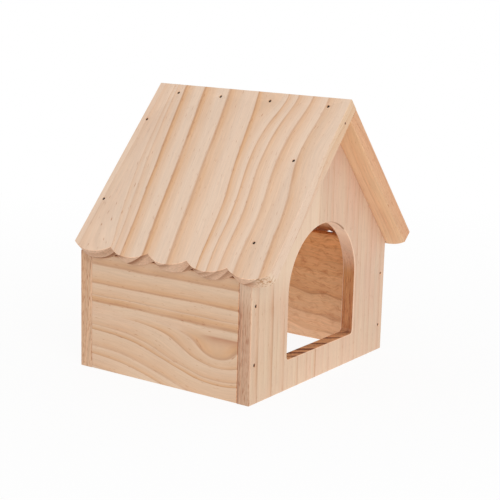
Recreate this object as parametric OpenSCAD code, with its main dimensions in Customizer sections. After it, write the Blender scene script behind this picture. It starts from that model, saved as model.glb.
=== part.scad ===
// Wooden hamster house: six pine boards nailed together with small brads, open
// underneath, with an arched doorway and scalloped eaves.
// Millimetres. +Z is up, the doorway faces -Y, and the origin is on the ground
// under the middle of the overall box.

/* [Overall size] */
// Width across both eaves, at the tips of the scallops
overall_w = 135; // [125:1:150]
// Height of the ridge above the ground
overall_h = 135; // [120:1:160]
// Length of both roof boards, along the ridge
roof_l = 112; // [95:1:150]
// Slope of the roof from the horizontal, in degrees
roof_pitch = 47.9; // [43:0.1:52]

/* [Body] */
// Width over the outer faces of the two side walls
body_w = 121; // [100:1:122]
// How far the roof stands out in front of the front gable
front_overhang = 11.5; // [2:0.5:25]

/* [Boards] */
// Thickness of the front and back gable boards
gable_t = 7; // [4:0.5:10]
// Thickness of the two side wall boards
wall_t = 7; // [4:0.5:10]
// Thickness of the two roof boards
roof_t = 7; // [4:0.5:10]

/* [Doorway] */
// Width of the doorway, also the width of its round arch
door_w = 60.5; // [40:0.5:80]
// Height of the doorway, from the sill to the top of the arch
door_h = 61; // [50:0.5:66]
// Height of the sill above the ground
sill_h = 14.5; // [6:0.5:25]
// Radius of the two corners at the sill
sill_corner_r = 2; // [1:0.5:8]

/* [Scalloped eaves] */
// Number of scallops along each eave
scallop_n = 5; // [3:1:8]
// How far each scallop hangs below the notches beside it, along the slope
scallop_drop = 3.8; // [2:0.1:5]

/* [Brads] */
// Length of a brad, with its head
brad_l = 18; // [12:0.5:22]
// Diameter of the brad's shank
brad_d = 1.1; // [0.8:0.1:1.6]
// Diameter of the brad's head
brad_head_d = 1.3; // [1.2:0.1:2.4]
// Thickness of the brad's head
brad_head_t = 0.5; // [0.3:0.1:1]
// Length of the brad's point
brad_point_l = 1.6; // [0.8:0.1:3]
// How deep the head is set below the face of the board
brad_sink = 0.3; // [0.1:0.1:1]

/* [Brad places] */
// Ridge brads: distance below the ridge, along the slope
ridge_brad_down = 5.2; // [3:0.1:7]
// Ridge brads: distances of the first two from the front end of the roof
ridge_brads_from_front = [10.5, 43]; // [5:0.5:45]
// Ridge brads: distances of the last two from the back end of the roof
ridge_brads_from_back = [14, 40]; // [5:0.5:45]
// Roof to front gable: distance of the upper brad below the ridge
front_upper_down = 37; // [30:0.5:50]
// Roof to front gable: distance of the lower brad above the scallop tips
front_lower_up = 18.5; // [15:0.5:30]
// Roof to back gable: distance of the upper brad below the ridge
back_upper_down = 23; // [18:0.5:50]
// Roof to back gable: distance of the lower brad above the scallop tips
back_lower_up = 29; // [15:0.5:35]
// Front gable to left wall: height of the lower brad above the ground
front_left_low = 18.5; // [8:0.5:25]
// Front gable to left wall: distance of the upper brad below the wall's top
front_left_high = 11.5; // [6:0.5:20]
// Front gable to right wall: height of the lower brad above the ground
front_right_low = 13.5; // [8:0.5:25]
// Front gable to right wall: distance of the upper brad below the wall's top
front_right_high = 16.5; // [6:0.5:20]
// Back gable to both walls: height of the lower brad above the ground
back_wall_low = 15; // [8:0.5:25]
// Back gable to both walls: distance of the upper brad below the wall's top
back_wall_high = 14; // [6:0.5:20]

/* [Fits] */
// Gap around a brad in its hole
brad_clearance = 0.05; // [0.02:0.01:0.1]
// Gap between a side wall's top outer edge and the roof above it
wall_top_gap = 0.2; // [0:0.1:0.5]
// Width of the slope planed on a side wall's top outer edge, to clear the roof
wall_top_planed = 0.5; // [0:0.1:2]

/* [Hidden] */
$fn = 48;

// -1 for the left side of the house, seen from the front, and +1 for the right
left = -1;
right = 1;
// How far a cut runs past the face it starts from
past = 1;

// The roof's ends, and the faces of the gable boards along Y
roof_front_y = -roof_l / 2;
roof_back_y = roof_l / 2;
front_y = roof_front_y + front_overhang;
back_y = roof_back_y;
wall_l = back_y - front_y - 2 * gable_t;

// Lengths down the slope, from the ridge to the scallop tips and to the notches
slope_l = overall_w / 2 / cos(roof_pitch);
notch_l = slope_l - scallop_drop;
scallop_pitch = roof_l / scallop_n;
scallop_r = (pow(scallop_pitch / 2, 2) + pow(scallop_drop, 2)) / (2 * scallop_drop);

// Height of the roof's underside at a distance x from the middle
function under_roof(x) = overall_h - roof_t / cos(roof_pitch) - x * tan(roof_pitch);
shoulder_h = under_roof(body_w / 2);
wall_h = shoulder_h - wall_top_gap;
wall_top_h = wall_h + wall_top_planed * tan(roof_pitch);

// Places of the brads: along Y over the gables, along the ridge and down the slope
front_gable_y = front_y + gable_t / 2;
back_gable_y = back_y - gable_t / 2;
wall_mid_x = body_w / 2 - wall_t / 2;
ridge_brads_y = concat(
    [for (d = ridge_brads_from_front) roof_front_y + d],
    [for (d = ridge_brads_from_back) roof_back_y - d]
);
front_roof_downs = [front_upper_down, slope_l - front_lower_up];
back_roof_downs = [back_upper_down, slope_l - back_lower_up];
front_left_zs = [front_left_low, wall_h - front_left_high];
front_right_zs = [front_right_low, wall_h - front_right_high];
back_wall_zs = [back_wall_low, wall_h - back_wall_high];

// Puts its children on a roof face: x runs down the slope and z out of the face
module on_slope(side) {
    mirror([side == left ? 1 : 0, 0, 0])
        translate([0, 0, overall_h])
            rotate([0, roof_pitch, 0])
                children();
}

// One brad driven into a face at z = 0, with its point down
module brad() {
    shank_l = brad_l - brad_head_t - brad_point_l;
    translate([0, 0, -brad_sink - brad_head_t])
        cylinder(h = brad_head_t, d = brad_head_d);
    translate([0, 0, -brad_sink - brad_head_t - shank_l])
        cylinder(h = shank_l, d = brad_d);
    translate([0, 0, -brad_sink - brad_l])
        cylinder(h = brad_point_l, d1 = brad_d / 4, d2 = brad_d);
}

// The hole that one brad sits in, with the sunk seat of its head
module brad_hole() {
    seat_depth = brad_sink + brad_head_t + brad_clearance;
    hole_depth = brad_sink + brad_l + brad_clearance;
    translate([0, 0, -seat_depth])
        cylinder(h = seat_depth + past, d = brad_head_d + 2 * brad_clearance);
    translate([0, 0, -hole_depth])
        cylinder(h = hole_depth + past, d = brad_d + 2 * brad_clearance);
}

// Brad places: each module puts its children at every brad of one joint
module at_ridge_brads() {
    on_slope(left)
        for (y = ridge_brads_y)
            translate([ridge_brad_down, y, 0])
                children();
}

module at_front_roof_brads(side) {
    on_slope(side)
        for (s = front_roof_downs)
            translate([s, front_gable_y, 0])
                children();
}

module at_back_roof_brads(side) {
    on_slope(side)
        for (s = back_roof_downs)
            translate([s, back_gable_y, 0])
                children();
}

module at_front_wall_brads(side) {
    for (z = side == left ? front_left_zs : front_right_zs)
        translate([side * wall_mid_x, front_y, z])
            rotate([90, 0, 0])
                children();
}

module at_back_wall_brads(side) {
    for (z = back_wall_zs)
        translate([side * wall_mid_x, back_y, z])
            rotate([-90, 0, 0])
                children();
}

// House-shaped board standing across Y, from y back to y + gable_t
module gable_board(y) {
    translate([0, y + gable_t, 0])
        rotate([90, 0, 0])
            linear_extrude(gable_t)
                polygon([
                    [-body_w / 2, 0], [body_w / 2, 0], [body_w / 2, shoulder_h],
                    [0, under_roof(0)], [-body_w / 2, shoulder_h]
                ]);
}

// The doorway's cut: straight jambs under a round arch, with eased sill corners
module doorway() {
    cut_l = gable_t + 2 * past;
    jamb_h = door_h - door_w / 2;
    corner_x = door_w / 2 - sill_corner_r;
    translate([0, front_y + gable_t + past, sill_h])
        rotate([90, 0, 0]) {
            translate([0, jamb_h, 0])
                cylinder(h = cut_l, d = door_w, $fn = 96);
            translate([-door_w / 2, sill_corner_r, 0])
                cube([door_w, jamb_h - sill_corner_r, cut_l]);
            translate([-corner_x, 0, 0])
                cube([2 * corner_x, jamb_h, cut_l]);
            for (x = [-corner_x, corner_x])
                translate([x, sill_corner_r, 0])
                    cylinder(h = cut_l, r = sill_corner_r);
        }
}

// Side wall board, standing between the gables, its top outer edge planed to the roof
module wall_board(side) {
    outer_x = body_w / 2;
    mirror([side == left ? 1 : 0, 0, 0])
        translate([0, back_y - gable_t, 0])
            rotate([90, 0, 0])
                linear_extrude(wall_l)
                    polygon([
                        [outer_x - wall_t, 0], [outer_x, 0], [outer_x, wall_h],
                        [outer_x - wall_top_planed, wall_top_h],
                        [outer_x - wall_t, wall_top_h]
                    ]);
}

// Outline of a roof board seen square on, with its row of round scallops
module roof_outline() {
    translate([-past, roof_front_y])
        square([notch_l + past, roof_l]);
    for (i = [0 : scallop_n - 1])
        translate([0, roof_front_y + (i + 0.5) * scallop_pitch])
            intersection() {
                translate([slope_l - scallop_r, 0])
                    circle(r = scallop_r, $fn = 96);
                translate([notch_l - past, -scallop_pitch / 2])
                    square([scallop_drop + 2 * past, scallop_pitch]);
            }
}

// Roof board on its slope: top_cut and under_cut are where its upper end starts
// on the outer face and on the underside, measured down the slope
module roof_board(side, top_cut, under_cut) {
    on_slope(side)
        intersection() {
            translate([0, roof_back_y, 0])
                rotate([90, 0, 0])
                    linear_extrude(roof_l)
                        polygon([
                            [top_cut, 0], [under_cut, -roof_t],
                            [slope_l + past, -roof_t], [slope_l + past, 0]
                        ]);
            translate([0, 0, -roof_t - past])
                linear_extrude(roof_t + 2 * past)
                    roof_outline();
        }
}

module front_gable() {
    color("wheat")
        difference() {
            gable_board(front_y);
            doorway();
            for (side = [left, right]) {
                at_front_roof_brads(side) brad_hole();
                at_front_wall_brads(side) brad_hole();
            }
        }
}

module back_gable() {
    color("wheat")
        difference() {
            gable_board(back_y - gable_t);
            for (side = [left, right]) {
                at_back_roof_brads(side) brad_hole();
                at_back_wall_brads(side) brad_hole();
            }
        }
}

module side_wall(side) {
    color("burlywood")
        difference() {
            wall_board(side);
            at_front_wall_brads(side) brad_hole();
            at_back_wall_brads(side) brad_hole();
        }
}

// The left roof board runs up to the ridge, and its end is planed to the right slope
module left_roof() {
    color("navajowhite")
        difference() {
            roof_board(left, 0, -roof_t / tan(2 * roof_pitch));
            at_ridge_brads() brad_hole();
            at_front_roof_brads(left) brad_hole();
            at_back_roof_brads(left) brad_hole();
        }
}

// The right roof board butts up against the underside of the left one
module right_roof() {
    color("navajowhite")
        difference() {
            roof_board(right, roof_t / sin(2 * roof_pitch), roof_t * tan(roof_pitch));
            at_ridge_brads() brad_hole();
            at_front_roof_brads(right) brad_hole();
            at_back_roof_brads(right) brad_hole();
        }
}

module brads() {
    color("dimgray") children();
}

front_gable();
back_gable();
side_wall(left);  // left_wall
side_wall(right);  // right_wall
left_roof();
right_roof();
brads() at_ridge_brads() brad();  // ridge_brads
brads() at_front_roof_brads(left) brad();  // left_roof_front_brads
brads() at_back_roof_brads(left) brad();  // left_roof_back_brads
brads() at_front_roof_brads(right) brad();  // right_roof_front_brads
brads() at_back_roof_brads(right) brad();  // right_roof_back_brads
brads() at_front_wall_brads(left) brad();  // front_left_brads
brads() at_front_wall_brads(right) brad();  // front_right_brads
brads() at_back_wall_brads(left) brad();  // back_left_brads
brads() at_back_wall_brads(right) brad();  // back_right_brads
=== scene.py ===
import math
import random

import bmesh
import bpy
from mathutils import Matrix, Vector


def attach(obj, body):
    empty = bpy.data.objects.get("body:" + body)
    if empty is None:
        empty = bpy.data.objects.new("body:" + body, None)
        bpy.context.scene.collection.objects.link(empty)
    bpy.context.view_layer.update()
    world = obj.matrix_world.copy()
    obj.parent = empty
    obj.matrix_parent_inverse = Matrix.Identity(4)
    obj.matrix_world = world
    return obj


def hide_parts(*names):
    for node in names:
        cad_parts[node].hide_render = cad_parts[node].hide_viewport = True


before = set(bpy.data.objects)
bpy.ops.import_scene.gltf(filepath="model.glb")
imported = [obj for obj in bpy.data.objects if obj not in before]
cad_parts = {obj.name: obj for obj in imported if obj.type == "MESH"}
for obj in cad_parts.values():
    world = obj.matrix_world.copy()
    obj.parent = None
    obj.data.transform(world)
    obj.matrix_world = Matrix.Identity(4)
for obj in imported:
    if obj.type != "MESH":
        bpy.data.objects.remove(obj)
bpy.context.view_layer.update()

# A wooden hamster house: six pine boards nailed together with small brads, with no floor.
# Sizes are in millimetres and become metres where a mesh is placed. Each board is drawn
# as it lay on the saw bench: x across the grain, y along it and z out of its outer face.


# ---------------------------------------------------------------------------------------
# Front gable
# One pine board with its grain upright, sawn to a house shape, with the doorway cut out
# by a scroll saw: straight jambs under a round arch, and two soft corners at the sill.
# Its faces are planed, its cut edges only sanded over by hand.
MM = 0.001
body_w = 121.0
board_t = 7.0
roof_pitch = math.radians(47.9)
ridge_h = 135.0
front_y = -44.5
peak_h = ridge_h - board_t / math.cos(roof_pitch)
shoulder_h = peak_h - body_w / 2 * math.tan(roof_pitch)
door_w = 60.5
door_h = 61.0
sill_h = 14.5
sill_corner_r = 2.0
jamb_h = sill_h + door_h - door_w / 2
wall_mid_x = body_w / 2 - board_t / 2
front_brads_z = {"left": (18.5, 45.9), "right": (13.5, 40.9)}
brad_sides = 20


def arc(centre, radius, start, end, steps):
    """Points along a round cut, from one angle to another in degrees."""
    turns = [math.radians(start + (end - start) * i / steps) for i in range(steps + 1)]
    return [(centre[0] + radius * math.cos(t), centre[1] + radius * math.sin(t)) for t in turns]


def inset(loop, by):
    """Moves an outline into the wood by the width that its eased edge takes."""
    moved = []
    for i, here in enumerate(loop):
        to_here = (here - loop[i - 1]).normalized()
        from_here = (loop[(i + 1) % len(loop)] - here).normalized()
        side = Vector((-to_here.y, to_here.x))
        middle = (side + Vector((-from_here.y, from_here.x))).normalized()
        moved.append(here + middle * (by / max(0.5, middle.dot(side))))
    return moved


def turned(shape, stand, profile):
    """Makes a round form from its radii and depths, and gives back its rings of points."""
    turns = [math.tau * i / brad_sides for i in range(brad_sides)]
    rows = [[shape.verts.new(stand @ Vector((r * math.cos(a), r * math.sin(a), -depth)))
             for a in turns] for r, depth in profile]
    for upper, lower in zip(rows, rows[1:]):
        for i in range(brad_sides):
            j = (i + 1) % brad_sides
            shape.faces.new((upper[i], lower[i], lower[j], upper[j]))
    return rows


def as_piece(name, shape):
    """Turns finished mesh work into an object in the scene."""
    mesh = bpy.data.meshes.new(name)
    shape.to_mesh(mesh)
    shape.free()
    piece = bpy.data.objects.new(name, mesh)
    bpy.context.collection.objects.link(piece)
    return piece


def saw_board(name, place, outline, opening=None, brads=(), ease=0.35):
    """Cuts a board from its outline, eases its edges and punches the seats of its brads.

    outline and opening give the points at a depth in the board. Outlines run anticlockwise
    and openings clockwise, so that the wood is on their left.
    The points keep their place on the bench as "board", in millimetres, and the faces keep
    the size of their normal's parts as "cut", so that the grain runs through the solid.
    """
    shape = bmesh.new()
    # Each cut edge is a straight wall between two quarter rounds
    steps = [0, 30, 60, 90]
    levels = [(ease * (1 - math.sin(math.radians(a))), ease * (1 - math.cos(math.radians(a))))
              for a in steps]
    levels += [(away, board_t - depth) for away, depth in reversed(levels)]
    eased = set()
    tops = []
    bottoms = []
    for sawn in [outline, opening] if opening else [outline]:
        rows = []
        for away, depth in levels:
            loop = inset([Vector(point) for point in sawn(depth)], away)
            rows.append([shape.verts.new((point.x, point.y, -depth)) for point in loop])
        for level, (upper, lower) in enumerate(zip(rows, rows[1:])):
            for i in range(len(upper)):
                j = (i + 1) % len(upper)
                strip = shape.faces.new((upper[i], upper[j], lower[j], lower[i]))
                if level != len(steps) - 1:
                    eased.add(strip)
        tops.append(rows[0])
        bottoms.append(rows[-1])
    # A brad's head is punched just under the face, and crushes a small cone around it
    seat = [(1.0, 0.0), (0.82, 0.1), (0.72, 0.3), (0.7, 0.85)]
    for x, y in brads:
        rows = turned(shape, Matrix.Translation((x, y, 0)), seat)
        shape.faces.new(rows[-1])
        tops.append(rows[0])
    for loops in (tops, bottoms):
        rim = [shape.edges.get((loop[i - 1], loop[i])) for loop in loops
               for i in range(len(loop))]
        bmesh.ops.triangle_fill(shape, edges=rim, use_beauty=True)
    bmesh.ops.recalc_face_normals(shape, faces=shape.faces)
    # The shading breaks where an eased edge meets a flat one, and at sharp corners
    sharp = math.radians(35)
    for face in shape.faces:
        face.smooth = True
    for edge in shape.edges:
        changes = len({face in eased for face in edge.link_faces}) == 2
        edge.smooth = not changes and edge.calc_face_angle(0) < sharp
    board = shape.verts.layers.float_vector.new("board")
    for vert in shape.verts:
        vert[board] = vert.co
    cut = shape.faces.layers.float_vector.new("cut")
    for face in shape.faces:
        face[cut] = [abs(part) for part in face.normal]
    shape.transform(place)
    return as_piece(name, shape)


def placed(across, along, out, corner):
    """Where a board goes: its bench directions and the bench's zero, in the house."""
    turn = Matrix((across, along, out)).transposed().to_4x4()
    return Matrix.Translation(Vector(corner) * MM) @ turn @ Matrix.Scale(MM, 4)


def tone(code):
    """Turns an sRGB hex colour to the linear colour that the shaders take."""
    parts = [int(code[i:i + 2], 16) / 255 for i in (1, 3, 5)]
    parts = [c / 12.92 if c <= 0.04045 else ((c + 0.055) / 1.055) ** 2.4 for c in parts]
    return (*parts, 1.0)


def add(tree, kind, feeds=None, **settings):
    """Adds one node with its settings.

    Each socket in feeds is set to a value, or linked to a socket or to a node's first output
    that is in use.
    """
    made = tree.nodes.new("ShaderNode" + kind)
    for what, value in settings.items():
        setattr(made, what, value)
    for socket, source in (feeds or {}).items():
        if isinstance(source, bpy.types.Node):
            source = next(output for output in source.outputs if output.enabled)
        if isinstance(source, bpy.types.NodeSocket):
            tree.links.new(source, made.inputs[socket])
        else:
            made.inputs[socket].default_value = source
    return made


def stops(ramp, marks, interpolation="LINEAR"):
    """Sets the marks of a colour ramp, each a place and a linear colour."""
    ramp.color_ramp.interpolation = interpolation
    while len(ramp.color_ramp.elements) < len(marks):
        ramp.color_ramp.elements.new(1.0)
    for element, (position, colour) in zip(ramp.color_ramp.elements, marks):
        element.position = position
        element.color = colour
    return ramp


def bare_material(name):
    """A new material and its node tree, with nothing in it yet."""
    material = bpy.data.materials.new(name)
    material.use_nodes = True
    material.node_tree.nodes.clear()
    return material, material.node_tree


def find_ring(tree, grown, rings):
    """Finds the growth ring at a place, from the distance across the rings in mm.

    rings lists where each begins, how strong it is and how much of its fade fits into it.
    What comes back is the share of the ring's fade that is passed, the distance into the
    ring in mm, and its strength.
    """
    # The curve counts the rings across the board, and the rest is the way into one ring
    first, last = rings[0][0], rings[-1][0]
    count = len(rings) - 1
    way = add(tree, "MapRange", {0: grown, 1: first, 2: last})
    curve = add(tree, "FloatCurve", {1: way})
    points = curve.mapping.curves[0].points
    for i in range(1, count):
        points.new((rings[i][0] - first) / (last - first), i / count)
    for point in points:
        point.handle_type = "VECTOR"
    curve.mapping.update()
    age = add(tree, "Math", {0: curve, 1: count}, operation="MULTIPLY")
    into = add(tree, "Math", {0: age}, operation="FRACT")

    # A ramp holds what is listed for each ring, and its width in mm
    whole = add(tree, "Math", {0: age}, operation="FLOOR")
    which = add(tree, "MapRange", {0: whole, 1: -0.5, 2: count - 0.5})
    listed = []
    for i, (start, strength, *reach) in enumerate(rings[:-1]):
        wide = rings[i + 1][0] - start
        listed.append((i / count, (strength, *(reach or [1.0]), wide, 1.0)))
    listed = stops(add(tree, "ValToRGB", {0: which}), listed, "CONSTANT")
    strength, reach, wide = add(tree, "SeparateColor", {0: listed}).outputs
    past = add(tree, "Math", {0: into, 1: wide}, operation="MULTIPLY")
    share = add(tree, "Math", {0: into, 1: reach}, operation="MULTIPLY")
    return share, past, strength


def pine(name, growth, rings, pale, warm, dark, blush, edge_tint, end_tint, seed,
         end_line="#C9A28C", end_dark=1.8, end_wide=2.6, fibres=0.07, streaky=0.12, rub=1.1,
         inside="#FFFFFF", marks=None):
    """Planed and sanded pine, left bare: pale wood with soft orange growth rings.

    The rings run through the whole board, so that a line on a face goes on over its edge.
    Each ring starts with a narrow dark line of late wood and fades to pale early wood.
    growth gives the distance across the rings in mm, and how clear they are, and rings is
    the list that find_ring takes. end_line, end_dark and end_wide are the tone, strength and
    width in mm of the late wood in end grain, streaky is for sawn edges, inside tints the
    inner face, and marks draws what only this board has, with painted light and shade on
    the front gable and the right roof board.
    """
    material, tree = bare_material(name)
    spot = add(tree, "Attribute", attribute_name="board").outputs["Vector"]
    bench = add(tree, "SeparateXYZ", {0: spot}).outputs
    along, depth = bench[1], bench[2]

    # Rings wander by half a millimetre, over 12 mm across the board and 45 mm along it
    stretch = add(tree, "VectorMath", {0: spot, 1: (1 / 12, 1 / 45, 1 / 12)}, operation="MULTIPLY")
    wander = add(tree, "TexNoise", {"Vector": stretch, "W": seed, "Scale": 1.0, "Detail": 2.0},
                 noise_dimensions="4D")
    across = add(tree, "Math", {0: wander, 1: 2.2, 2: bench[0]}, operation="MULTIPLY_ADD")
    across = add(tree, "Math", {0: across, 1: 1.1}, operation="SUBTRACT")
    grown, clear = growth(tree, across, along, depth)

    into, past, strength = find_ring(tree, grown, rings)
    patchy = add(tree, "TexNoise",
                 {"Vector": stretch, "W": seed + 3.0, "Scale": 1.6, "Detail": 3.0},
                 noise_dimensions="4D")
    patchy = add(tree, "MapRange", {0: patchy, 1: 0.3, 2: 0.7, 3: 0.7, 4: 1.2})
    strong = add(tree, "Math", {0: strength, 1: patchy}, operation="MULTIPLY")
    strong = add(tree, "Math", {0: strong, 1: clear}, operation="MULTIPLY", use_clamp=True)
    pale_tone, warm_tone, dark_tone = tone(pale), tone(warm), tone(dark)
    half_tone = tuple((a + b) / 2 for a, b in zip(pale_tone, warm_tone))
    late = stops(add(tree, "ValToRGB", {0: into}),
                 [(0.0, pale_tone), (0.09, dark_tone), (0.19, warm_tone), (0.42, half_tone),
                  (0.88, pale_tone)], "EASE")
    cloud = add(tree, "TexNoise", {"Vector": stretch, "W": seed + 7.0, "Scale": 1.1, "Detail": 3.0},
                noise_dimensions="4D")
    cloud = add(tree, "MapRange", {0: cloud, 1: 0.35, 2: 0.65, 4: 0.7})
    ground = add(tree, "Mix", {0: cloud, 6: pale_tone, 7: tone(blush)}, data_type="RGBA")
    wood = add(tree, "Mix", {0: strong, 6: ground, 7: late}, data_type="RGBA")

    # Fibres follow the rings. Real ones are 0.03 mm wide and too fine to show, so they are
    # drawn as bundles half a millimetre wide and 12 mm long, in streaks twice as wide.
    bundle = add(tree, "CombineXYZ", {0: grown, 1: along, 2: depth})
    fine = add(tree, "VectorMath", {0: bundle, 1: (2.0, 1 / 12, 2.0)}, operation="MULTIPLY")
    fibre = add(tree, "TexNoise", {"Vector": fine, "W": seed, "Scale": 1.0, "Detail": 4.0,
                                   "Roughness": 0.65}, noise_dimensions="4D")
    shade = add(tree, "MapRange", {0: fibre, 1: 0.25, 2: 0.75, 3: 1.0 - fibres, 4: 1.0 + fibres})
    wood = add(tree, "VectorMath", {0: wood, "Scale": shade}, operation="SCALE")
    fine = add(tree, "VectorMath", {0: bundle, 1: (0.9, 1 / 60, 0.9)}, operation="MULTIPLY")
    streak = add(tree, "TexNoise", {"Vector": fine, "W": seed + 5.0, "Scale": 1.0, "Detail": 3.0,
                                    "Roughness": 0.6}, noise_dimensions="4D")
    streak = add(tree, "MapRange", {0: streak, 1: 0.3, 2: 0.6, 3: 1.0 - fibres * 0.6, 4: 1.0})
    wood = add(tree, "VectorMath", {0: wood, "Scale": streak}, operation="SCALE")

    # Resin canals show as short thin dashes, 0.3 mm wide and about 4 mm long, most of
    # them in the late wood and on the sawn edges
    cut = add(tree, "Attribute", attribute_name="cut").outputs["Vector"]
    cut = add(tree, "SeparateXYZ", {0: cut}).outputs
    edge_way = add(tree, "MapRange", {0: cut[0], 1: 0.3, 2: 0.9})
    end_way = add(tree, "MapRange", {0: cut[1], 1: 0.25, 2: 0.85})
    short = add(tree, "VectorMath", {0: bundle, 1: (3.0, 1 / 4, 3.0)}, operation="MULTIPLY")
    canal = add(tree, "TexNoise", {"Vector": short, "W": seed + 1.0, "Scale": 1.0, "Detail": 1.0},
                noise_dimensions="4D")
    near = add(tree, "MapRange", {0: into, 1: 0.04, 2: 0.3, 3: 0.06, 4: 0.0})
    canal = add(tree, "Math", {0: near, 1: strong, 2: canal}, operation="MULTIPLY_ADD")
    canal = add(tree, "Math", {0: edge_way, 1: streaky * 0.8, 2: canal}, operation="MULTIPLY_ADD")
    canal = add(tree, "MapRange", {0: canal, 1: 0.66, 2: 0.76})
    wood = add(tree, "Mix", {0: canal, 6: wood, 7: tone("#D3AF95")}, data_type="RGBA",
               blend_type="MULTIPLY")

    # Sawn edges are darker than planed faces and streaky. End grain is browner still and
    # torn in flakes about 1 mm wide, with pores half as wide, and its late wood shows as
    # dark lines. Eased edges are rubbed pale.
    for tint, share in ((edge_tint, edge_way), (end_tint, end_way)):
        wood = add(tree, "Mix", {0: share, 6: wood, 7: tone(tint)}, data_type="RGBA",
                   blend_type="MULTIPLY")
    bands = add(tree, "TexNoise", {"W": grown, "Scale": 1.3, "Detail": 2.0}, noise_dimensions="1D")
    bands = add(tree, "MapRange",
                {0: bands, 1: 0.35, 2: 0.6, 3: 1.0 - streaky, 4: 1.0 + streaky * 0.4})
    sawn = add(tree, "VectorMath", {0: wood, "Scale": bands}, operation="SCALE")
    wood = add(tree, "Mix", {0: edge_way, 6: wood, 7: sawn}, data_type="RGBA")
    pores = add(tree, "TexNoise", {"Vector": spot, "W": seed, "Scale": 2.2, "Detail": 3.0,
                                   "Roughness": 0.7}, noise_dimensions="4D")
    torn = add(tree, "VectorMath", {0: spot, 1: (0.9, 1.0, 2.2)}, operation="MULTIPLY")
    torn = add(tree, "TexNoise", {"Vector": torn, "W": seed + 9.0, "Scale": 1.0, "Detail": 4.0,
                                  "Roughness": 0.7}, noise_dimensions="4D")
    torn = add(tree, "MapRange", {0: torn, 1: 0.32, 2: 0.68, 3: 0.74, 4: 1.22})
    end_ground = add(tree, "Mix", {0: 1.0, 6: ground, 7: tone(end_tint)}, data_type="RGBA",
                     blend_type="MULTIPLY")
    line = add(tree, "MapRange", {0: past, 1: 0.4, 2: end_wide, 3: end_dark, 4: 0.0},
               interpolation_type="SMOOTHSTEP")
    line = add(tree, "Math", {0: line, 1: strong}, operation="MULTIPLY", use_clamp=True)
    ends = add(tree, "Mix", {0: 0.75, 6: wood, 7: end_ground}, data_type="RGBA")
    ends = add(tree, "VectorMath", {0: ends, "Scale": torn}, operation="SCALE")
    ends = add(tree, "Mix", {0: line, 6: ends, 7: tone(end_line)}, data_type="RGBA",
               blend_type="MULTIPLY")
    wood = add(tree, "Mix", {0: end_way, 6: wood, 7: ends}, data_type="RGBA")
    flat = add(tree, "Math", {0: cut[2], 1: cut[2]}, operation="MULTIPLY")
    rubbed = add(tree, "Math", {0: 1.0, 1: flat}, operation="SUBTRACT")
    rubbed = add(tree, "Math", {0: rubbed, 1: flat}, operation="MULTIPLY")
    most = add(tree, "Math", {0: end_way, 1: 0.5, 2: rub}, operation="MULTIPLY_ADD")
    rubbed = add(tree, "MapRange", {0: rubbed, 2: 0.25, 3: 1.0, 4: most})
    wood = add(tree, "VectorMath", {0: wood, "Scale": rubbed}, operation="SCALE")
    inner = add(tree, "MapRange", {0: depth, 1: -0.9 * board_t, 2: 0.1 - board_t})
    wood = add(tree, "Mix", {0: inner, 6: wood, 7: tone(inside)}, data_type="RGBA",
               blend_type="MULTIPLY")
    if marks:
        wood = marks(tree, wood, bench, cut)

    rough = add(tree, "MapRange", {0: fibre, 1: 0.3, 2: 0.7, 3: 0.56, 4: 0.7})
    rough = add(tree, "Math", {0: end_way, 1: 0.15, 2: rough}, operation="MULTIPLY_ADD")
    height = add(tree, "Math", {0: pores, 1: end_way, 2: fibre}, operation="MULTIPLY_ADD")
    bump = add(tree, "Bump", {"Strength": 0.6, "Distance": 0.08 * MM, "Height": height})
    shader = add(tree, "BsdfPrincipled", {"Base Color": wood, "Roughness": rough, "Normal": bump,
                                          "IOR": 1.5})
    add(tree, "OutputMaterial", {0: shader})
    return material


gable_outline = [(-body_w / 2, 0), (body_w / 2, 0), (body_w / 2, shoulder_h), (0, peak_h),
                 (-body_w / 2, shoulder_h)]
doorway = arc((0, jamb_h), door_w / 2, 180, 0, 48)
doorway += arc((door_w / 2 - sill_corner_r, sill_h + sill_corner_r), sill_corner_r, 0, -90, 6)
doorway += arc((-door_w / 2 + sill_corner_r, sill_h + sill_corner_r), sill_corner_r, -90, -180, 6)


def front_gable_growth(tree, across, along, depth):
    """Nearly upright rings through the thickness at a slant, counted from the right side."""
    leftward = add(tree, "Math", {0: across, 1: -1.0}, operation="MULTIPLY")
    slant = add(tree, "Math", {0: depth, 1: 0.85, 2: leftward}, operation="MULTIPLY_ADD")
    slant = add(tree, "Math", {0: along, 1: -0.01, 2: slant}, operation="MULTIPLY_ADD")
    # They are clearer in patches about 9 mm wide and 30 mm tall
    patch = add(tree, "CombineXYZ", {0: across, 1: along})
    patch = add(tree, "VectorMath", {0: patch, 1: (0.11, 0.035, 0.0)}, operation="MULTIPLY")
    patch = add(tree, "TexNoise", {"Vector": patch, "Scale": 1.0, "Detail": 2.0})
    clear = add(tree, "MapRange", {0: patch, 1: 0.36, 2: 0.62, 3: 0.4, 4: 1.5})
    return slant, clear


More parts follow.
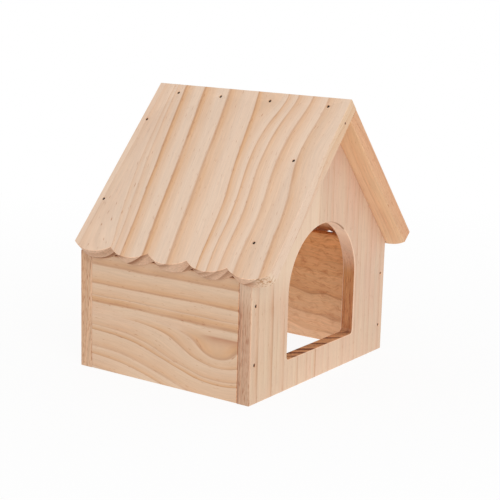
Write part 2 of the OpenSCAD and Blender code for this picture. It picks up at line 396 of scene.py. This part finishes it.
def doorway_cut(tree, wood, bench, cut):
    """The doorway's warm brown saw cut, partly the saw's own burn and partly painted shade on
    the jambs, with painted light that makes the arch palest, and its edges rubbed pale and
    given a painted highlight.

    The face yellows a little to the lower left and reddens to the upper right. Left of the
    doorway's top, under the left roof's overhang, it is painted paler: painted light that
    lifts the overhang's shade. The saw has torn the arch's edge a little, right of its top.
    """
    corner = add(tree, "Math", {0: bench[0], 1: bench[1]})
    corner = add(tree, "MapRange", {0: corner, 1: -40.0, 2: 110.0})
    drift = add(tree, "Mix", {0: corner, 6: tone("#FCFCFA"), 7: tone("#FFFBFD")}, data_type="RGBA")
    wood = add(tree, "Mix", {0: 1.0, 6: wood, 7: drift}, data_type="RGBA", blend_type="MULTIPLY")
    # Painted light: left of the doorway's top, under the roof's overhang, the face is painted paler
    # to lift the overhang's shade
    high = add(tree, "MapRange", {0: bench[1], 1: 42.0, 2: 58.0, 4: 0.5})
    painted_light_under_eave = add(tree, "MapRange", {0: bench[0], 1: -3.5, 2: -6.5})
    painted_light_under_eave = add(tree, "Math", {0: painted_light_under_eave, 1: high}, operation="MULTIPLY")
    wood = add(tree, "Mix", {0: painted_light_under_eave, 6: wood, 7: tone("#F2DABF")}, data_type="RGBA")

    # Cuts within 10 mm of the doorway's sides and sill are meant, and those over it, where
    # the board's own edges are hidden under the roof
    margin = 10.0
    aside = add(tree, "Math", {0: bench[0]}, operation="ABSOLUTE")
    inner = add(tree, "Math", {0: aside, 1: door_w / 2 + margin}, operation="LESS_THAN")
    above = add(tree, "Math", {0: bench[1], 1: sill_h - margin}, operation="GREATER_THAN")
    inner = add(tree, "Math", {0: inner, 1: above}, operation="MULTIPLY")
    sawn = add(tree, "MapRange", {0: cut[2], 1: 0.35, 2: 0.1})
    sawn = add(tree, "Math", {0: inner, 1: sawn}, operation="MULTIPLY")
    # The doorway's warm brown, set by height, is partly the saw's burn and partly painted shade on
    # the jambs
    height = add(tree, "MapRange", {0: bench[1], 1: sill_h, 2: sill_h + door_h})
    burn_and_painted_shade = stops(add(tree, "ValToRGB", {0: height}),
                 [(0.0, (1, 1, 1, 1)), (0.04, tone("#F0CFA6")), (0.5, tone("#EDD1A0")),
                  (0.62, tone("#F6E2CC")), (0.9, (1, 1, 1, 1))])
    wood = add(tree, "Mix", {0: sawn, 6: wood, 7: burn_and_painted_shade}, data_type="RGBA", blend_type="MULTIPLY")
    # Painted light: the arch's saw cut is mixed paler, as if lit from the light table below
    arch = add(tree, "MapRange", {0: height, 1: 0.52, 2: 0.9, 4: 0.85})
    arch = add(tree, "Math", {0: arch, 1: sawn}, operation="MULTIPLY")
    wood = add(tree, "Mix", {0: arch, 6: wood, 7: tone("#EAC8AD")}, data_type="RGBA")
    # The doorway's rims are rubbed pale and painted paler still: a painted highlight along the
    # edges
    rim = add(tree, "MapRange", {0: cut[2], 1: 0.99, 2: 0.9, 4: 0.7})
    slope = add(tree, "MapRange", {0: cut[2], 1: 0.12, 2: 0.3})
    for share in (slope, inner):
        rim = add(tree, "Math", {0: rim, 1: share}, operation="MULTIPLY")
    wood = add(tree, "Mix", {0: rim, 6: wood, 7: tone("#F4D6BC")}, data_type="RGBA")

    # The tear lies on the arch's front edge, 1 to 18 mm right of its top
    rise = add(tree, "Math", {0: bench[1], 1: jamb_h}, operation="SUBTRACT")
    crown = add(tree, "Math", {0: rise, 1: 20.0}, operation="GREATER_THAN")
    spoke = add(tree, "CombineXYZ", {0: aside, 1: rise})
    spoke = add(tree, "VectorMath", {0: spoke}, operation="LENGTH")
    torn = add(tree, "MapRange", {0: spoke, 1: door_w / 2 + 0.5, 2: door_w / 2 + 0.3})
    reach = add(tree, "MapRange", {0: bench[0], 1: 0.0, 2: 20.0})
    reach = stops(add(tree, "ValToRGB", {0: reach}),
                  [(0.05, (0, 0, 0, 1)), (0.15, (0.4, 0.4, 0.4, 1)), (0.6, (1, 1, 1, 1)),
                   (0.86, (1, 1, 1, 1)), (0.93, (0, 0, 0, 1))])
    front = add(tree, "MapRange", {0: bench[2], 1: -1.0, 2: -0.6})
    for share in (crown, reach, front):
        torn = add(tree, "Math", {0: torn, 1: share}, operation="MULTIPLY")
    return add(tree, "Mix", {0: torn, 6: wood, 7: tone("#A67D61")}, data_type="RGBA")


front_gable_rings = [
    (-75, 0.3), (-64, 0.3), (-57.3, 0.5, 1.5), (-52, 0.15), (-47, 0.4), (-42.3, 0.35, 1.6),
    (-36.3, 0.3), (-33, 0.35), (-28.5, 0.2), (-22, 0.5), (-16.5, 0.06), (-12.4, 0.06),
    (-8, 0.6, 1.3), (-2.8, 0.35), (0.2, 0.06), (4, 0.8), (8.2, 0.06), (12, 0.5, 1.3), (16.2, 0.06),
    (20, 0.45), (24.2, 0.06), (28, 0.1), (32.3, 0.5), (38.5, 0.2), (42, 0.65), (49, 0.15),
    (53.7, 0.55, 0.8), (60, 0.3), (66, 0.3)]
front_gable = saw_board(
    "front_gable_board", placed((1, 0, 0), (0, 0, 1), (0, -1, 0), (0, front_y, 0)),
    lambda depth: gable_outline, opening=lambda depth: doorway,
    brads=[(-wall_mid_x, z) for z in front_brads_z["left"]]
    + [(wall_mid_x, z) for z in front_brads_z["right"]], ease=0.45)
front_gable.data.materials.append(pine(
    "planed_pine_front", front_gable_growth, front_gable_rings, pale="#DCBFA2", warm="#D3A786",
    dark="#BC8B69", blush="#DBB297", edge_tint="#ECE0DA", end_tint="#F9DEBE",
    end_line="#957A70", end_dark=2.2, end_wide=6.0, seed=1.0, fibres=0.11, streaky=0.14,
    rub=1.22, marks=doorway_cut))
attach(front_gable, "root")
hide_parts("front_gable")


# ---------------------------------------------------------------------------------------
# Back gable
# The same house shape without a doorway, from a board cut near the side of the log, with
# arched rings. It stands flush with the back end of the roof.
roof_back_y = 56.0
back_brads_z = (15.0, 43.4)


def back_gable_growth(tree, across, along, depth):
    """Nested arches, as where a board is cut near the side of a log."""
    side = add(tree, "Math", {0: along, 1: 0.1, 2: across}, operation="MULTIPLY_ADD")
    side = add(tree, "Math", {0: side, 1: side}, operation="MULTIPLY")
    rise = add(tree, "MapRange", {0: along, 1: -10.0, 2: 150.0, 3: 46.0, 4: 6.0})
    rise = add(tree, "Math", {0: depth, 1: -0.9, 2: rise}, operation="MULTIPLY_ADD")
    both = add(tree, "Math", {0: rise, 1: rise, 2: side}, operation="MULTIPLY_ADD")
    return add(tree, "Math", {0: both, 1: 0.5}, operation="POWER"), 1.0


def random_rings(seed, start, end, narrow, wide):
    """Growth rings of uneven width for a board, with the same result every time."""
    choice = random.Random(seed)
    rings = []
    while start < end:
        rings.append((start, choice.uniform(0.25, 0.8)))
        start += choice.choice((1.0, 1.0, 1.6)) * choice.uniform(narrow, wide)
    return rings


back_gable = saw_board(
    "back_gable_board", placed((-1, 0, 0), (0, 0, 1), (0, 1, 0), (0, roof_back_y, 0)),
    lambda depth: gable_outline,
    brads=[(side * wall_mid_x, z) for side in (-1, 1) for z in back_brads_z])
back_gable.data.materials.append(pine(
    "planed_pine_back", back_gable_growth, random_rings(11, 0, 96, 3, 8), pale="#E0C1A8",
    warm="#D9AB84", dark="#C4936C", blush="#DCB99F", edge_tint="#F0E3D3", end_tint="#E2C9B6",
    seed=2.0))
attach(back_gable, "root")
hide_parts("back_gable")


# ---------------------------------------------------------------------------------------
# Side walls
# Two plain rectangular boards with their grain lying from front to back, nailed between
# the gables. Their tops are cut square just under the roof, and the outer edge is planed.
wall_front_y = front_y + board_t
wall_back_y = roof_back_y - board_t
roof_gap = 0.2
planed_w = 0.5
wall_h = shoulder_h - roof_gap
wall_top_h = wall_h + planed_w * math.tan(roof_pitch)


def wall_outline(depth, start, end):
    """Outline of a side wall, from one end of its grain to the other."""
    top = min(wall_top_h, wall_h + depth * math.tan(roof_pitch))
    return [(0, start), (top, start), (top, end), (0, end)]


def bell(tree, along, middle, reach):
    """A share that is 1 at the middle and dies away over reach, both in mm along the board."""
    off = add(tree, "Math", {0: along, 1: middle}, operation="SUBTRACT")
    off = add(tree, "Math", {0: off, 1: reach}, operation="DIVIDE")
    off = add(tree, "Math", {0: off, 1: off}, operation="MULTIPLY")
    off = add(tree, "Math", {0: off, 1: -1.0}, operation="MULTIPLY")
    return add(tree, "Math", {0: off}, operation="EXPONENT")


def left_wall_growth(tree, across, along, depth):
    """Level rings that dip round a hidden knot low in the front half of the board."""
    near = bell(tree, along, -26.0, 38.18)
    low = add(tree, "MapRange", {0: across, 1: 35.5, 2: 13.0, 4: 14.2},
              interpolation_type="SMOOTHSTEP")
    dip = add(tree, "Math", {0: near, 1: low, 2: across}, operation="MULTIPLY_ADD")
    distance = add(tree, "Math", {0: depth, 1: 0.35, 2: dip}, operation="MULTIPLY_ADD")
    # The rings next to the knot die out where the board straightens, the inner one first
    over = add(tree, "MapRange", {0: distance, 1: 26.5, 2: 27.5})
    under = add(tree, "MapRange", {0: distance, 1: 33.0, 2: 32.6})
    inner = add(tree, "Math", {0: distance, 1: 30.5}, operation="GREATER_THAN")
    behind = add(tree, "Math", {0: inner, 1: 34.0, 2: along}, operation="MULTIPLY_ADD")
    behind = add(tree, "MapRange", {0: behind, 1: 19.0, 2: 31.0})
    faint = over
    for share in (under, behind):
        faint = add(tree, "Math", {0: faint, 1: share}, operation="MULTIPLY")
    clear = add(tree, "Math", {0: 1.0, 1: faint}, operation="SUBTRACT")
    return distance, clear


def knot_shade(tree, wood, bench, cut):
    """The reddish shade in the bend round the knot, under a level line."""
    below = add(tree, "MapRange", {0: bench[0], 1: 29.2, 2: 28.5})
    rise = add(tree, "MapRange", {0: bench[0], 1: 22.0, 2: 28.5})
    rise = add(tree, "Math", {0: rise, 1: 2.5}, operation="POWER")
    front = add(tree, "MapRange", {0: bench[1], 1: -15.0, 2: -24.0})
    for share in (rise, front):
        below = add(tree, "Math", {0: below, 1: share}, operation="MULTIPLY")
    return add(tree, "Mix", {0: below, 6: wood, 7: tone("#E2C8BC")}, data_type="RGBA",
               blend_type="MULTIPLY")


def right_wall_growth(tree, across, along, depth):
    """Curly rings, nearly level, that sink to the front in the lower half.

    Each curl is about 17 mm long.
    """
    curl = add(tree, "CombineXYZ", {0: across, 1: along, 2: depth})
    curl = add(tree, "VectorMath", {0: curl, 1: (0.06, 0.055, 0.06)}, operation="MULTIPLY")
    curl = add(tree, "TexNoise", {"Vector": curl, "Scale": 1.0, "Detail": 1.0})
    bent = add(tree, "Math", {0: curl, 1: 7.0, 2: across}, operation="MULTIPLY_ADD")
    bent = add(tree, "Math", {0: bent, 1: 3.5}, operation="SUBTRACT")
    sink = add(tree, "MapRange", {0: across, 1: 24.0, 2: 38.0, 3: 0.115, 4: 0.02})
    bent = add(tree, "Math", {0: along, 1: sink, 2: bent}, operation="MULTIPLY_ADD")
    return add(tree, "Math", {0: depth, 1: 0.3, 2: bent}, operation="MULTIPLY_ADD"), 1.0


def curly_figure(tree, wood, bench, cut):
    """Short broken strokes of curly grain, about 5 mm long, clearest high on the inner face.

    They rise and fall over 6 to 10 mm. The wood is greyer in the middle of the board, and
    palest and warmest at its top.
    """
    slow = add(tree, "CombineXYZ", dict(enumerate(bench)))
    slow = add(tree, "VectorMath", {0: slow, 1: (0.16, 0.14, 0.1)}, operation="MULTIPLY")
    slow = add(tree, "TexNoise", {"Vector": slow, "Scale": 1.0, "Detail": 1.0})
    lifted = add(tree, "Math", {0: slow, 1: 8.0, 2: bench[0]}, operation="MULTIPLY_ADD")
    lifted = add(tree, "Math", {0: bench[1], 1: 0.09, 2: lifted}, operation="MULTIPLY_ADD")
    stroke = add(tree, "CombineXYZ", {0: lifted, 1: bench[1], 2: bench[2]})
    stroke = add(tree, "VectorMath", {0: stroke, 1: (0.8, 1 / 5, 0.5)}, operation="MULTIPLY")
    stroke = add(tree, "TexNoise",
                 {"Vector": stroke, "Scale": 1.0, "Detail": 3.0, "Roughness": 0.6})
    stroke = add(tree, "MapRange", {0: stroke, 1: 0.48, 2: 0.7, 4: 0.75})
    above = add(tree, "MapRange", {0: bench[0], 1: 8.0, 2: 30.0, 3: 0.5, 4: 1.0})
    inward = add(tree, "MapRange", {0: bench[2], 1: -1.0, 2: -6.0, 3: 0.4, 4: 1.0})
    for share in (above, inward):
        stroke = add(tree, "Math", {0: stroke, 1: share}, operation="MULTIPLY")
    wood = add(tree, "Mix", {0: stroke, 6: wood, 7: tone("#D5B296")}, data_type="RGBA",
               blend_type="MULTIPLY")
    height = add(tree, "MapRange", {0: bench[0], 1: 8.0, 2: 53.0})
    tint = stops(add(tree, "ValToRGB", {0: height}),
                 [(0.0, tone("#EBEEFB")), (0.27, tone("#E6E6E8")), (0.62, tone("#EDE7DD")),
                  (0.84, tone("#F5EADB")), (1.0, tone("#FEF3DE"))])
    return add(tree, "Mix", {0: 1.0, 6: wood, 7: tint}, data_type="RGBA", blend_type="MULTIPLY")


right_wall_rings = [
    (-20, 0.3), (-8, 0.4), (3, 0.25), (11.2, 0.45), (22.8, 0.65), (34.6, 0.3), (41, 0.2),
    (48.6, 0.3), (54, 0.3), (70, 0.3)]
left_wall_rings = [
    (-20, 0.3), (-8, 0.4), (1, 0.4), (7.0, 0.7, 0.8), (11.2, 0.5, 0.8), (19.8, 0.9, 0.6),
    (21.9, 0.5), (28.3, 0.75, 0.7), (30.5, 0.8), (32.9, 1.0, 0.35), (36.6, 0.5),
    (42.4, 0.9), (51.5, 0.7), (62, 0.4)]
left_wall = saw_board(
    "left_wall_board", placed((0, 0, 1), (0, 1, 0), (-1, 0, 0), (-body_w / 2, 0, 0)),
    lambda depth: wall_outline(depth, wall_front_y, wall_back_y))
left_wall.data.materials.append(pine(
    "planed_pine_left_wall", left_wall_growth, left_wall_rings, pale="#D9BA9D", warm="#CE9E73",
    dark="#BB8A64", blush="#D5AD8F", edge_tint="#F0E0D2", end_tint="#E2C9B6", seed=3.0,
    fibres=0.1, marks=knot_shade))
right_wall = saw_board(
    "right_wall_board", placed((0, 0, 1), (0, -1, 0), (1, 0, 0), (body_w / 2, 0, 0)),
    lambda depth: wall_outline(depth, -wall_back_y, -wall_front_y))
right_wall.data.materials.append(pine(
    "planed_pine_right_wall", right_wall_growth, right_wall_rings, pale="#F2CEAB",
    warm="#E0AB7B", dark="#C18B5F", blush="#EBBE94", edge_tint="#FFF3E4", end_tint="#E2C9B6",
    seed=4.0, fibres=0.17, inside="#FFF2DE", marks=curly_figure))
for piece, node in ((left_wall, "left_wall"), (right_wall, "right_wall")):
    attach(piece, "root")
    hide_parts(node)


# ---------------------------------------------------------------------------------------
# Left roof board
# A wide pine board with its grain running down the slope. It laps over the right one at
# the ridge, where its end is planed to the other slope, and its eave is sawn to a row of
# five round scallops. Two brads go into each gable and four into the right board's edge.
roof_front_y = -56.0
eaves_w = 135.0
slope_l = eaves_w / 2 / math.cos(roof_pitch)
scallops = 5
scallop_drop = 3.8
scallop_w = (roof_back_y - roof_front_y) / scallops
scallop_r = ((scallop_w / 2) ** 2 + scallop_drop ** 2) / (2 * scallop_drop)
scallop_turn = math.degrees(math.asin(scallop_w / 2 / scallop_r))
ridge_brads_y = (-45.5, -13.0, 16.0, 42.0)
ridge_brads_down = 5.2
slope_brads = {"front": (37.0, 82.18), "back": (23.0, 71.68)}
gable_brads_y = {"front": front_y + board_t / 2, "back": roof_back_y - board_t / 2}
pin_knot = (11.4, -board_t / 2)


def roof_outline(top):
    """Outline of a roof board from its upper end down to the scallops of its eave."""
    outline = [(roof_front_y, top), (roof_back_y, top)]
    for i in range(scallops):
        middle = roof_back_y - scallop_w * (i + 0.5)
        round_cut = arc((middle, slope_l - scallop_r), scallop_r, 90 - scallop_turn,
                        90 + scallop_turn, 18)
        outline += round_cut[1:] if i else round_cut
    return outline


def left_roof_growth(tree, across, along, depth):
    """Rings that lean to the front down the slope, and bend round a pin knot at the top."""
    back = add(tree, "Math", {0: roof_back_y, 1: across}, operation="SUBTRACT")
    lean = add(tree, "MapRange", {0: along, 1: 5.0, 2: 92.0, 4: 12.0}, clamp=False)
    share = add(tree, "MapRange", {0: back, 1: 2.0, 2: 24.0}, interpolation_type="SMOOTHSTEP")
    lean = add(tree, "Math", {0: lean, 1: share}, operation="MULTIPLY")
    # The bend dies away down the board, with one slow wave lower down
    high = add(tree, "Math", {0: along, 1: 20.0}, operation="DIVIDE")
    high = add(tree, "Math", {0: high, 1: high, 2: 1.0}, operation="MULTIPLY_ADD")
    bend = add(tree, "Math", {0: 11.4, 1: high}, operation="DIVIDE")
    wave = add(tree, "MapRange", {0: along, 1: 38.0, 2: 64.0, 4: 1.5},
               interpolation_type="SMOOTHSTEP")
    still = add(tree, "MapRange", {0: along, 1: 66.0, 2: 96.0, 4: -2.2},
                interpolation_type="SMOOTHSTEP")
    bend = add(tree, "Math", {0: bend, 1: wave})
    bend = add(tree, "Math", {0: bend, 1: still})
    into = add(tree, "MapRange", {0: back, 1: 60.0, 2: 78.0}, interpolation_type="SMOOTHSTEP")
    out = add(tree, "MapRange", {0: back, 1: 88.0, 2: 102.0, 4: 0.5},
              interpolation_type="SMOOTHSTEP")
    into = add(tree, "Math", {0: into, 1: out}, operation="SUBTRACT")
    bend = add(tree, "Math", {0: bend, 1: into}, operation="MULTIPLY")
    shift = add(tree, "Math", {0: lean, 1: bend})
    bent = add(tree, "Math", {0: back, 1: shift}, operation="SUBTRACT")
    # The last ring swings further back than the others just below the knot
    swing = add(tree, "MapRange", {0: back, 1: 92.0, 2: 100.0, 4: 2.2},
                interpolation_type="SMOOTHSTEP")
    level = bell(tree, along, 34.0, 16.0)
    bent = add(tree, "Math", {0: swing, 1: level, 2: bent}, operation="MULTIPLY_ADD")
    return add(tree, "Math", {0: depth, 1: -1.7, 2: bent}, operation="MULTIPLY_ADD"), 1.0


def knot_and_torn_corner(tree, wood, bench, cut):
    """A pin knot, cut through on the front edge: a dark eye in a paler ring.

    The sawn edges are yellower near the ridge than lower down. The front corner of the eave
    is pale, with the short dark marks of torn fibres, 1 mm wide and 3 mm long.
    """
    yellow = add(tree, "MapRange", {0: bench[1], 1: 50.0, 2: 14.0})
    sawn = add(tree, "MapRange", {0: cut[0], 1: 0.3, 2: 0.9})
    yellow = add(tree, "Math", {0: yellow, 1: sawn}, operation="MULTIPLY")
    wood = add(tree, "Mix", {0: yellow, 6: wood, 7: tone("#FBF2E2")}, data_type="RGBA",
               blend_type="MULTIPLY")
    corner = add(tree, "MapRange", {0: bench[0], 1: -46.0, 2: -52.0})
    eave = add(tree, "MapRange", {0: bench[1], 1: 94.0, 2: 97.0})
    edge = add(tree, "MapRange", {0: cut[2], 1: 0.9, 2: 0.6})
    for share in (eave, edge):
        corner = add(tree, "Math", {0: corner, 1: share}, operation="MULTIPLY")
    pale = add(tree, "Math", {0: corner, 1: 0.45}, operation="MULTIPLY")
    wood = add(tree, "Mix", {0: pale, 6: wood, 7: tone("#ECD5B8")}, data_type="RGBA")
    torn = add(tree, "CombineXYZ", dict(enumerate(bench)))
    torn = add(tree, "VectorMath", {0: torn, 1: (0.9, 0.3, 0.9)}, operation="MULTIPLY")
    torn = add(tree, "TexNoise", {"Vector": torn, "Scale": 1.0, "Detail": 1.0})
    torn = add(tree, "MapRange", {0: torn, 1: 0.5, 2: 0.6})
    torn = add(tree, "Math", {0: torn, 1: corner}, operation="MULTIPLY")
    wood = add(tree, "Mix", {0: torn, 6: wood, 7: tone("#D6BDA6")}, data_type="RGBA",
               blend_type="MULTIPLY")
    spot = add(tree, "CombineXYZ", {1: bench[1], 2: bench[2]})
    away = add(tree, "VectorMath", {0: spot, 1: (0, *pin_knot)}, operation="DISTANCE")
    eye = stops(add(tree, "ValToRGB", {0: away}),
                [(0.0, tone("#6B4630")), (0.45, tone("#8A6248")), (0.7, (1, 1, 1, 1))], "EASE")
    return add(tree, "Mix", {0: 1.0, 6: wood, 7: eye}, data_type="RGBA", blend_type="MULTIPLY")


left_roof_rings = [
    (-16, 0.3), (-4, 0.25), (3, 0.25), (9.8, 0.35), (11.9, 0.35), (16.6, 1.0, 1.25),
    (28.5, 1.0, 1.25), (43.4, 0.8, 1.25), (60.8, 0.9), (66.6, 0.65), (72.2, 0.6),
    (80.6, 0.65), (94.2, 0.7, 1.5), (112.0, 0.3), (124, 0.3)]
left_roof = saw_board(
    "left_roof_board",
    placed((0, 1, 0), (-math.cos(roof_pitch), 0, -math.sin(roof_pitch)),
           (-math.sin(roof_pitch), 0, math.cos(roof_pitch)), (0, 0, ridge_h)),
    lambda depth: roof_outline(-depth / math.tan(2 * roof_pitch)),
    brads=[(y, ridge_brads_down) for y in ridge_brads_y]
    + [(gable_brads_y[end], s) for end in ("front", "back") for s in slope_brads[end]])
left_roof.data.materials.append(pine(
    "planed_pine_left_roof", left_roof_growth, left_roof_rings, pale="#E4C8B0", warm="#DCAD83",
    dark="#C6946C", blush="#E2BEA3", edge_tint="#FFFFFF", end_tint="#EEE2D9",
    end_line="#B79C85", end_dark=1.0, end_wide=7.0, seed=5.0, fibres=0.1, streaky=0.03,
    rub=1.03, marks=knot_and_torn_corner))
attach(left_roof, "root")
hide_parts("left_roof")


# ---------------------------------------------------------------------------------------
# Right roof board
# The same board for the other side, 7 mm shorter at the top, where it butts up against
# the underside of the left one.
def right_roof_growth(tree, across, along, depth):
    """Rings that lean a little down the slope, in one long wave."""
    lean = add(tree, "Math", {0: along, 1: 0.07, 2: across}, operation="MULTIPLY_ADD")
    slow = add(tree, "Math", {0: along, 1: 0.05}, operation="MULTIPLY")
    slow = add(tree, "Math", {0: slow}, operation="SINE")
    lean = add(tree, "Math", {0: slow, 1: 2.2, 2: lean}, operation="MULTIPLY_ADD")
    return add(tree, "Math", {0: depth, 1: -1.2, 2: lean}, operation="MULTIPLY_ADD"), 1.0


def warm_underside_painted_light(tree, wood, bench, cut):
    """The underside is warmer wood near the ridge, and is painted lighter there as painted light
    from the light table below.
    """
    # Painted light: near the ridge, the underside is mixed towards a lighter, warmer tone
    inner = add(tree, "MapRange", {0: bench[2], 1: -0.9 * board_t, 2: 0.1 - board_t})
    upper = add(tree, "MapRange", {0: bench[1], 1: 52.0, 2: 16.0, 4: 0.3},
                interpolation_type="SMOOTHSTEP")
    upper = add(tree, "Math", {0: upper, 1: inner}, operation="MULTIPLY")
    return add(tree, "Mix", {0: upper, 6: wood, 7: tone("#F7C997")}, data_type="RGBA")


right_roof = saw_board(
    "right_roof_board",
    placed((0, -1, 0), (math.cos(roof_pitch), 0, -math.sin(roof_pitch)),
           (math.sin(roof_pitch), 0, math.cos(roof_pitch)), (0, 0, ridge_h)),
    lambda depth: roof_outline(board_t / math.sin(2 * roof_pitch)
                               - depth / math.tan(2 * roof_pitch)),
    brads=[(-gable_brads_y[end], s) for end in ("front", "back") for s in slope_brads[end]])
right_roof.data.materials.append(pine(
    "planed_pine_right_roof", right_roof_growth, random_rings(8, -75, 80, 5, 12),
    pale="#EDC79E", warm="#E2A979", dark="#C9906A", blush="#E6B590", edge_tint="#F0DFD6",
    end_tint="#E6D6CA", seed=6.0, fibres=0.16, streaky=0.06, rub=1.03,
    marks=warm_underside_painted_light))
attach(right_roof, "root")
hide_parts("right_roof")


# ---------------------------------------------------------------------------------------
# Brads
# Small wire nails of bare steel, 18 mm long, with a flat head that a hammer has peened
# slightly round. Each is punched just under the face of its board.
def drive_brads(name, node, places):
    """Makes the brads of one joint, each from its place on the face and its direction."""
    shape = bmesh.new()
    sunk = 0.3
    profile = [(0.36, 0.32), (0.56, 0.4), (0.64, 0.5), (0.65, 0.62), (0.6, 0.76), (0.55, 0.82),
               (0.55, 16.7), (0.3, 17.6), (0.08, 18.3)]
    for spot, into in places:
        turn = Vector((0, 0, -1)).rotation_difference(Vector(into)).to_matrix().to_4x4()
        stand = Matrix.Translation(Vector(spot) * MM) @ turn @ Matrix.Scale(MM, 4)
        top = shape.verts.new(stand @ Vector((0, 0, -sunk)))
        rows = turned(shape, stand, profile)
        for i in range(brad_sides):
            shape.faces.new((top, rows[0][i], rows[0][(i + 1) % brad_sides]))
        shape.faces.new(reversed(rows[-1]))
    bmesh.ops.recalc_face_normals(shape, faces=shape.faces)
    for face in shape.faces:
        face.smooth = True
    piece = as_piece(name, shape)
    piece.data.materials.append(drawn_steel)
    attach(piece, "root")
    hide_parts(node)


# Drawn steel wire, dulled by handling: dark grey with a soft brownish bloom in patches
# 0.4 mm wide
drawn_steel, tree = bare_material("drawn_steel_dulled")
spot = add(tree, "TexCoord").outputs["Object"]
bloom = add(tree, "TexNoise", {"Vector": spot, "Scale": 1 / (0.4 * MM), "Detail": 3.0})
skin = stops(add(tree, "ValToRGB", {0: bloom}), [(0.3, tone("#4A423C")), (0.7, tone("#2C231E"))])
dull = add(tree, "MapRange", {0: bloom, 1: 0.3, 2: 0.7, 3: 0.38, 4: 0.6})
dents = add(tree, "Bump", {"Strength": 0.5, "Distance": 0.03 * MM, "Height": bloom})
steel = add(tree, "BsdfPrincipled", {"Base Color": skin, "Metallic": 1.0, "Roughness": dull,
                                     "Normal": dents})
add(tree, "OutputMaterial", {0: steel})


def on_roof(side, y, down):
    """A place on a roof face, with the direction into the board."""
    spot = (side * down * math.cos(roof_pitch), y, ridge_h - down * math.sin(roof_pitch))
    return spot, (-side * math.sin(roof_pitch), 0, -math.cos(roof_pitch))


drive_brads("ridge_brad_set", "ridge_brads",
            [on_roof(-1, y, ridge_brads_down) for y in ridge_brads_y])
for side, side_name in ((-1, "left"), (1, "right")):
    for end in ("front", "back"):
        drive_brads(f"{side_name}_roof_{end}_brad_set", f"{side_name}_roof_{end}_brads",
                    [on_roof(side, gable_brads_y[end], s) for s in slope_brads[end]])
    drive_brads(f"front_{side_name}_brad_set", f"front_{side_name}_brads",
                [((side * wall_mid_x, front_y, z), (0, 1, 0)) for z in front_brads_z[side_name]])
    drive_brads(f"back_{side_name}_brad_set", f"back_{side_name}_brads",
                [((side * wall_mid_x, roof_back_y, z), (0, -1, 0)) for z in back_brads_z])


# ---------------------------------------------------------------------------------------
# Floor and backdrop
# A white acrylic light table in a white light tent. It lights the house from below and,
# with its brightest spot, inside, and far away it runs into the white of the tent. It lies
# 0.2 mm under the boards, so that their bottom edges keep their own surface.
def seen_rays(tree):
    """1 for rays that show the floor or the tent in the picture, 0 for those that give light."""
    rays = add(tree, "LightPath").outputs
    seen = rays["Is Camera Ray"]
    for kind in ("Is Glossy Ray", "Is Transmission Ray"):
        seen = add(tree, "Math", {0: seen, 1: rays[kind]}, operation="MAXIMUM")
    return seen


table_shape = bmesh.new()
table_r = 8000.0
bmesh.ops.create_circle(table_shape, cap_ends=True, segments=96, radius=table_r * MM)
table = as_piece("light_table", table_shape)
table.location.z = -0.2 * MM

# The acrylic shows evenly white, but keeps a part of the house's soft shadow near it
white_acrylic, tree = bare_material("white_acrylic_lit_from_below")
seen = seen_rays(tree)
spot = add(tree, "TexCoord").outputs["Object"]
far = add(tree, "VectorMath", {0: spot}, operation="LENGTH")
near_share = add(tree, "MapRange", {0: far, 1: 120 * MM, 2: 500 * MM, 3: 0.9, 4: 1.0})
share = add(tree, "MapRange", {0: seen, 3: 1.0, 4: near_share})
matt = add(tree, "BsdfDiffuse", {"Color": tone("#F4F4F4")})
middle = add(tree, "MapRange", {0: far, 1: 45 * MM, 2: 80 * MM, 3: 1.35, 4: 1.0})
glow = add(tree, "Mix", {0: seen, 2: middle, 3: 1.0})
lit = add(tree, "Emission", {"Color": (1, 1, 1, 1), "Strength": glow})
both = add(tree, "MixShader", {0: share, 1: matt, 2: lit})
add(tree, "OutputMaterial", {0: both})
table.data.materials.append(white_acrylic)


# ---------------------------------------------------------------------------------------
# Light
# The tent is white cloth all round and gives an even light with no hard shadow. One broad
# soft box over the left front makes that side the brighter one.
world = bpy.data.worlds.new("light_tent")
bpy.context.scene.world = world
world.use_nodes = True
tree = world.node_tree
tree.nodes.clear()
strength = add(tree, "MapRange", {0: seen_rays(tree), 3: 0.75, 4: 1.0})
tent = add(tree, "Background", {"Color": (1, 1, 1, 1), "Strength": strength})
add(tree, "OutputWorld", {0: tent})

soft_box = bpy.data.objects.new("key_soft_box", bpy.data.lights.new("key_soft_box", "AREA"))
soft_box.data.size = 900 * MM
soft_box.data.energy = 5.0
soft_box.location = Vector((-700, -800, 900)) * MM
aim = Vector((0, 0, 60)) * MM - soft_box.location
soft_box.rotation_euler = aim.to_track_quat("-Z", "Y").to_euler()
bpy.context.collection.objects.link(soft_box)


# ---------------------------------------------------------------------------------------
# Camera
# It stands 0.65 m away, left of the doorway and a little above the house, with a long
# lens, and is tilted by 1.5 degrees. The house lies a little left of the frame's middle.
round_left = math.radians(-55.69)
up_angle = math.radians(12.075)
roll = math.radians(1.522)
back = Vector((math.sin(round_left) * math.cos(up_angle),
               -math.cos(round_left) * math.cos(up_angle), math.sin(up_angle)))
level = Vector((math.cos(round_left), math.sin(round_left), 0))
over = back.cross(level)
right = math.cos(roll) * level + math.sin(roll) * over
up = -math.sin(roll) * level + math.cos(roll) * over
house_middle = Vector((0, 5.75, 60.0))
distance = 647.16
off_right = 5.86
off_down = 4.78
stand = (house_middle + back * distance + right * off_right - up * off_down) * MM
camera = bpy.data.objects.new("camera", bpy.data.cameras.new("camera"))
camera.matrix_world = Matrix.Translation(stand) @ Matrix((right, up, back)).transposed().to_4x4()
camera.data.sensor_width = 36.0
camera.data.lens = 93.43
bpy.context.collection.objects.link(camera)
bpy.context.scene.camera = camera
bpy.context.scene.view_settings.view_transform = "Standard"
